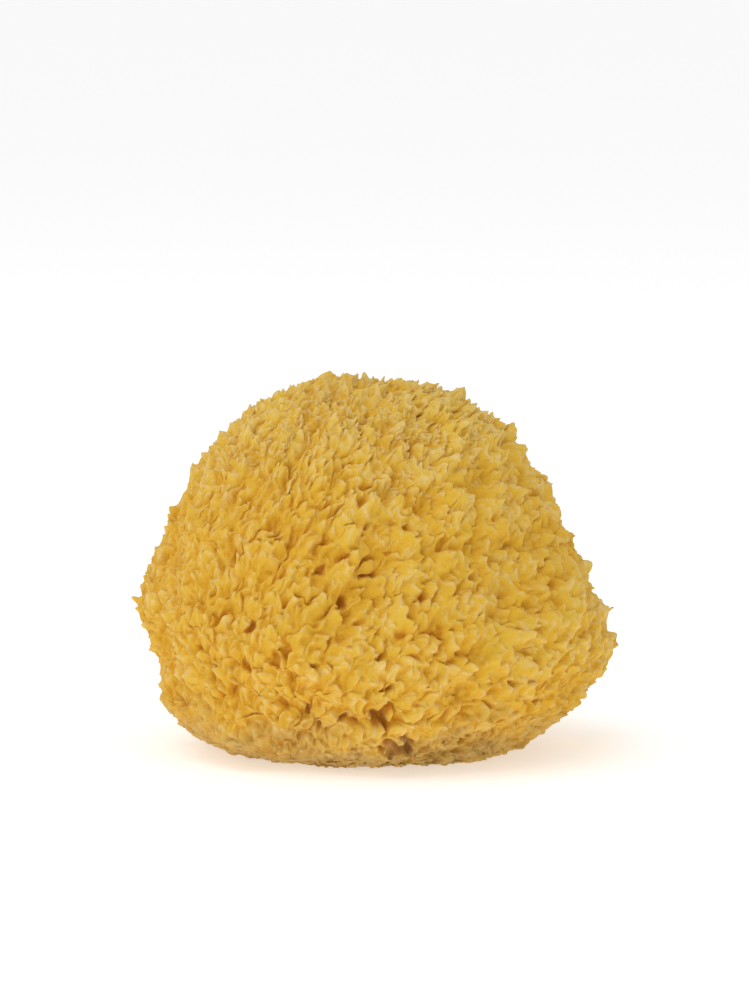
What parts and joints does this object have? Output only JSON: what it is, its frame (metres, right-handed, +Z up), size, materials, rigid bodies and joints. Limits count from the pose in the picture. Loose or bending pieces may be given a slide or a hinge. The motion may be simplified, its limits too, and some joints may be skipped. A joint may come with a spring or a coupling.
{
  "type": "natural sea wool sponge",
  "caption": "Natural sea wool sponge: a dome of soft leaf-like tufts, cut off flat underneath, used for bathing and washing.",
  "frame": {"origin": "on the flat cut face underneath, under the middle of the sponge's width and depth", "axes": "+Z up from the cut to the crown, +X to the right along the width, -Y towards the side seen in the picture"},
  "size_m": [0.1392, 0.1276, 0.1105],
  "materials": {
    "sponge_flesh": "soft matte golden-yellow sponge fibre, paler at the tips of the tufts and orange-brown in the hollows"
  },
  "bodies": {
    "root": {"sponge": "sponge_flesh"}
  },
  "joints": []
}
